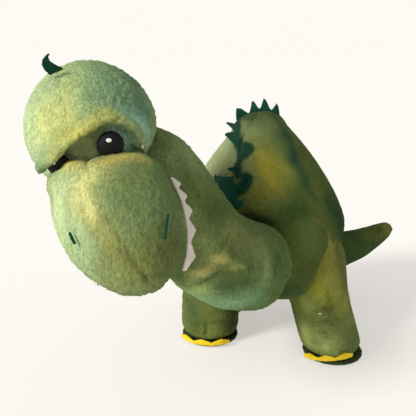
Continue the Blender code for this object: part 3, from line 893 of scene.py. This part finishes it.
NECK_DYE_AND_HIGHLIGHT = [
    ((-40, -106, 178), (12, 20, 14), (0.38, 0.44, 0.16), 1.0),
    ((-50, -80, 226), (26, 34, 20), (0.32, 0.40, 0.17), 1.0),
    ((-32, -106, 196), (16, 24, 18), (0.169, 0.234, 0.072), 0.9),
    ((-14, -92, 178), (14, 20, 14), (0.091, 0.143, 0.039), 0.95),
    ((-6, -91, 157), (16, 16, 12), (0.26, 0.286, 0.091), 0.9),
    ((17, -69, 144), (14, 14, 12), (0.312, 0.338, 0.111), 0.9),
    ((24, -64, 122), (10, 14, 12), (0.221, 0.364, 0.156), 0.8),
    ((-28, -106, 152), (12, 14, 12), (0.312, 0.39, 0.13), 0.95),
    # These three small bright patches paint a highlight along a ridge of the neck's cloth.
    ((-36, -98, 129), (9, 10, 4), (0.728, 0.702, 0.234), 1.0),
    ((-20, -100, 138), (10, 10, 4), (0.78, 0.728, 0.234), 1.0),
    ((-6, -93, 130), (9, 10, 4), (0.52, 0.546, 0.169), 0.9),
    ((-40, -92, 114), (14, 18, 10), (0.546, 0.702, 0.26), 1.0),
    ((-16, -90, 112), (12, 10, 8), (0.117, 0.182, 0.052), 0.9),
    ((-44, -84, 96), (16, 18, 12), (0.494, 0.754, 0.364), 1.0),
    ((-16, -80, 90), (32, 26, 12), (0.338, 0.598, 0.312), 0.95),
    ((12, -72, 100), (16, 16, 16), (0.208, 0.364, 0.169), 0.9),
    ((30, -50, 124), (8, 12, 18), (0.078, 0.143, 0.039), 0.9),
]
TAIL_DYE = [
    ((80, 122, 76), (28, 34, 34), (0.027, 0.095, 0.035), 1.0),
    ((120, 158, 70), (26, 26, 12), (0.095, 0.162, 0.043), 0.9),
    ((142, 168, 90), (16, 20, 12), (0.162, 0.196, 0.049), 0.9),
    ((162, 172, 100), (12, 14, 10), (0.23, 0.243, 0.054), 0.95),
    ((168, 176, 104), (5, 8, 5), (0.041, 0.108, 0.027), 0.9),
]
CROWN_DYE_AND_LIGHT = [
    ((0, 115, 36), (60, 50, 46), (0.46, 0.62, 0.31), 0.9),
    # Partly the crown's paler dye, partly painted light on its lit side.
    ((-34, 78, 30), (27, 60, 46), (0.66, 0.82, 0.42), 1.0),
    ((-14, 60, 46), (20, 22, 16), (0.66, 0.76, 0.32), 0.8),
    ((-1, 74, 50), (10, 24, 14), (0.78, 0.76, 0.24), 0.85),
    ((-20, 66, 42), (10, 14, 12), (0.82, 0.84, 0.30), 0.8),
    ((-12, 51, 46), (10, 8, 8), (0.36, 0.44, 0.13), 0.7),
    ((12, 98, 50), (14, 20, 14), (0.50, 0.64, 0.27), 0.9),
    ((27, 84, 40), (15, 20, 16), (0.20, 0.36, 0.19), 1.0),
    ((42, 70, 22), (14, 22, 18), (0.12, 0.26, 0.15), 1.0),
    ((40, 110, 20), (16, 26, 22), (0.18, 0.32, 0.17), 1.0),
    ((30, 116, 34), (12, 12, 12), (0.28, 0.40, 0.17), 0.8),
    ((6, 49, 47), (22, 7, 9), (0.62, 0.62, 0.17), 1.0),
    ((25, 53, 43), (14, 7, 10), (0.36, 0.42, 0.12), 1.0),
    ((38, 51, 24), (8, 10, 12), (0.34, 0.42, 0.14), 0.9),
    ((-38, 46, 22), (11, 9, 14), (0.12, 0.26, 0.14), 1.0),
    ((-31, 40, 36), (10, 8, 11), (0.17, 0.32, 0.17), 1.0),
    # Painted light in the eye recess under the brow: its teal and olive cloth made far paler to cancel the
    # brow's shade.
    ((32, 54, 20), (11, 11, 16), (0.50, 0.95, 0.72), 1.0),
    ((2, 42, 22), (14, 11, 16), (0.85, 0.95, 0.42), 1.0),
    ((-20, 46, 14), (14, 12, 14), (0.70, 0.92, 0.42), 1.0),
]
MUZZLE_DYE_AND_LIGHT = [
    ((16, 0, 40), (30, 50, 30), (0.20, 0.28, 0.11), 0.9),
    ((44, -6, 14), (16, 50, 30), (0.19, 0.28, 0.11), 0.95),
    ((24, 30, 32), (34, 9, 15), (0.74, 0.64, 0.15), 1.0),
    ((8, 20, 40), (14, 10, 12), (0.44, 0.48, 0.16), 0.9),
    # Partly the muzzle's paler dye, partly painted light on its lit side.
    ((-26, 8, 28), (24, 38, 34), (0.72, 0.88, 0.44), 1.0),
    ((-24, -26, 22), (18, 24, 30), (0.50, 0.66, 0.33), 1.0),
    ((-10, -10, 36), (7, 14, 12), (0.52, 0.66, 0.30), 0.7),
    ((-6, -48, 20), (18, 16, 22), (0.32, 0.38, 0.14), 0.95),
    ((-3, 10, 41), (8, 24, 12), (0.95, 0.92, 0.34), 1.0),
    ((3, -26, 38), (8, 20, 12), (0.42, 0.42, 0.13), 0.9),
    ((14, -46, 26), (18, 14, 20), (0.22, 0.23, 0.055), 0.9),
    ((34, -42, 14), (14, 16, 20), (0.15, 0.17, 0.045), 0.9),
    ((18, -16, 38), (9, 12, 9), (0.26, 0.33, 0.13), 0.6),
    ((30, 10, 34), (10, 12, 10), (0.22, 0.28, 0.09), 0.6),
    ((4, -62, 4), (22, 12, 12), (0.36, 0.44, 0.19), 0.8),
]
LEG_DYE_AND_SHADE = {
    "front_left": [
        ((73, 22, 104), (12, 18, 15), (0.66, 0.58, 0.11), 1.0),
        # This dark patch is painted shade in the crease that runs on from the torso's fold beside the gold
        # stripe.
        ((97, 36, 108), (10, 22, 22), (0.03, 0.08, 0.03), 0.9),
        ((64, 0, 82), (14, 20, 14), (0.525, 0.525, 0.075), 1.0),
        ((80, -2, 84), (12, 16, 12), (0.375, 0.4, 0.075), 0.9),
        ((58, 0, 60), (10, 16, 12), (0.45, 0.525, 0.138), 0.95),
        ((74, -6, 50), (9, 14, 14), (0.25, 0.325, 0.094), 0.9),
        ((54, 2, 38), (7, 20, 7), (0.15, 0.275, 0.088), 0.9),
        ((60, 4, 24), (11, 20, 14), (0.65, 0.75, 0.237), 1.0),
        ((84, -2, 24), (14, 14, 16), (0.55, 0.675, 0.225), 0.95),
        ((100, 20, 50), (10, 20, 16), (0.25, 0.312, 0.1), 0.9),
        ((108, 24, 74), (12, 20, 14), (0.112, 0.163, 0.05), 0.95),
        ((92, 4, 68), (10, 14, 8), (0.425, 0.45, 0.088), 0.8),
        ((104, 12, 20), (10, 20, 14), (0.163, 0.25, 0.088), 0.9),
    ],
    "front_right": [
        # Partly the leg's own dark dye, partly painted shade where the neck and head shadow this leg.
        ((-62, 24, 44), (12, 24, 24), (0.075, 0.143, 0.056), 0.95),
        ((-56, 18, 24), (10, 18, 16), (0.105, 0.158, 0.038), 0.9),
        ((-40, 16, 40), (9, 14, 26), (0.143, 0.188, 0.045), 0.9),
        ((-36, 16, 18), (12, 14, 10), (0.225, 0.255, 0.053), 0.95),
        ((-20, 28, 34), (10, 20, 34), (0.038, 0.075, 0.015), 1.0),
    ],
    "hind_left": [((80, 110, 40), (30, 30, 30), (0.13, 0.19, 0.05), 0.8)],
    "hind_right": [((-45, 120, 40), (30, 30, 30), (0.13, 0.19, 0.05), 0.8)],
}


# ---------------------------------------------------------------- scene

FLOOR_GLOW = 0.5
FLOOR_COLOUR = (0.4175, 0.412, 0.400)
FLOOR_GRAIN = 1.004
BACKDROP_COLOUR = (0.983, 0.957, 0.899)
KEY_DIRECTION = (-0.60, -0.60, 0.53)
KEY_STRENGTH = 3.5
KEY_SPREAD = 14
KEY_COLOUR = (1, 0.985, 0.95)
AMBIENT = 0.6
AMBIENT_COLOUR = (1, 0.99, 0.96, 1)
CAMERA_LENS = 48.46
CAMERA_SENSOR = 36
CAMERA_PLACE = (0.0318, -0.5144, 0.2976)
CAMERA_TURN = (75, 0, 8)


def make_stage():
    shape = bmesh.new()
    bmesh.ops.create_grid(shape, x_segments=8, y_segments=8, size=12)
    floor = mesh_object("floor", shape)
    nodes = Nodes("pale floor")
    where = nodes.add("ShaderNodeTexCoord").outputs["Object"]
    grain = nodes.noise(where, 40, 2, 0.5)
    floor.data.materials.append(
        nodes.finish(
            Base_Color=nodes.ramp(grain, FLOOR_COLOUR, tuple(c * FLOOR_GRAIN for c in FLOOR_COLOUR)),
            Roughness=0.9,
            Specular_IOR_Level=0.0,
            Emission_Color=BACKDROP_COLOUR,
            Emission_Strength=FLOOR_GLOW,
        )
    )


def make_light():
    sun = bpy.data.lights.new("key", "SUN")
    sun.energy = KEY_STRENGTH
    sun.angle = math.radians(KEY_SPREAD)
    sun.color = KEY_COLOUR
    lamp = link(bpy.data.objects.new("key", sun))
    lamp.rotation_euler = Vector(KEY_DIRECTION).to_track_quat("Z", "Y").to_euler()
    world = bpy.data.worlds.new("studio")
    bpy.context.scene.world = world
    world.use_nodes = True
    tree = world.node_tree
    ambient = tree.nodes["Background"]
    ambient.inputs["Color"].default_value = AMBIENT_COLOUR
    ambient.inputs["Strength"].default_value = AMBIENT
    backdrop = tree.nodes.new("ShaderNodeBackground")
    backdrop.inputs["Color"].default_value = (*BACKDROP_COLOUR, 1)
    path = tree.nodes.new("ShaderNodeLightPath")
    mix = tree.nodes.new("ShaderNodeMixShader")
    tree.links.new(path.outputs["Is Camera Ray"], mix.inputs[0])
    tree.links.new(ambient.outputs[0], mix.inputs[1])
    tree.links.new(backdrop.outputs[0], mix.inputs[2])
    tree.links.new(mix.outputs[0], tree.nodes["World Output"].inputs["Surface"])
    bpy.context.scene.view_settings.view_transform = "Standard"


def make_camera():
    camera = bpy.data.cameras.new("camera")
    camera.lens = CAMERA_LENS
    camera.sensor_width = CAMERA_SENSOR
    obj = link(bpy.data.objects.new("camera", camera))
    obj.location = CAMERA_PLACE
    obj.rotation_euler = [math.radians(turn) for turn in CAMERA_TURN]
    bpy.context.scene.camera = obj


make_torso()
make_neck()
make_tail()
make_crown()
make_muzzle()
make_jaw()
for leg in LEGS:
    make_leg(leg)
make_trims()
make_eyes()
make_thread_ends()
make_stage()
make_light()
make_camera()
